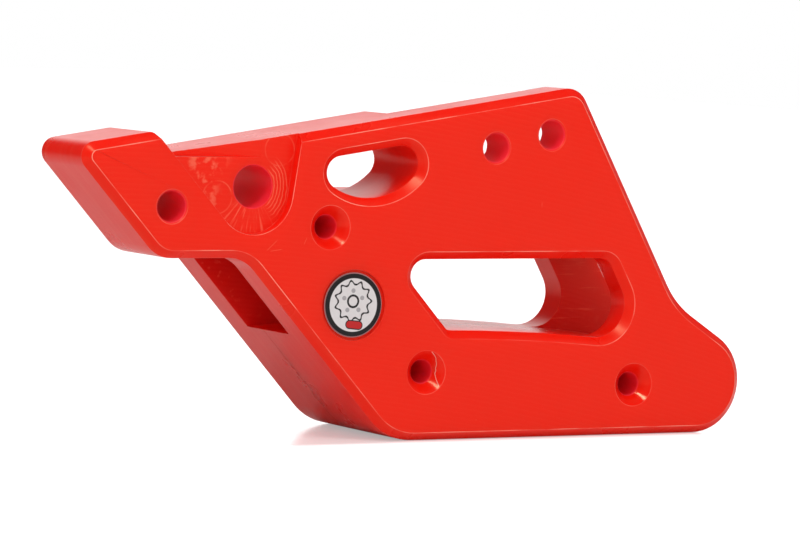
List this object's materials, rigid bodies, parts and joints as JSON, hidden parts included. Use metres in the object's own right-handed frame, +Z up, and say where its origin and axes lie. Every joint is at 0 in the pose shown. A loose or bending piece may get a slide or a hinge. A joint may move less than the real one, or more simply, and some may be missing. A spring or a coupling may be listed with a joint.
{
  "type": "motorcycle chain guide",
  "caption": "Rear wheel chain guide for a motorcycle: two thick red plastic halves with a chain slot between them, side windows, a bolt recess and a badge.",
  "frame": {"origin": "middle of the whole part's length and width, on the flat base", "axes": "+X along the guide from the nose to the lobe, +Y from the outer face to the inner face, +Z up from the base"},
  "size_m": [0.1826, 0.042, 0.0853],
  "materials": {
    "red_plastic": "satin, machined",
    "badge_face": "printed, smooth"
  },
  "bodies": {
    "root": {"outer_half": "red_plastic", "inner_half": "red_plastic", "badge": "badge_face"}
  },
  "joints": []
}
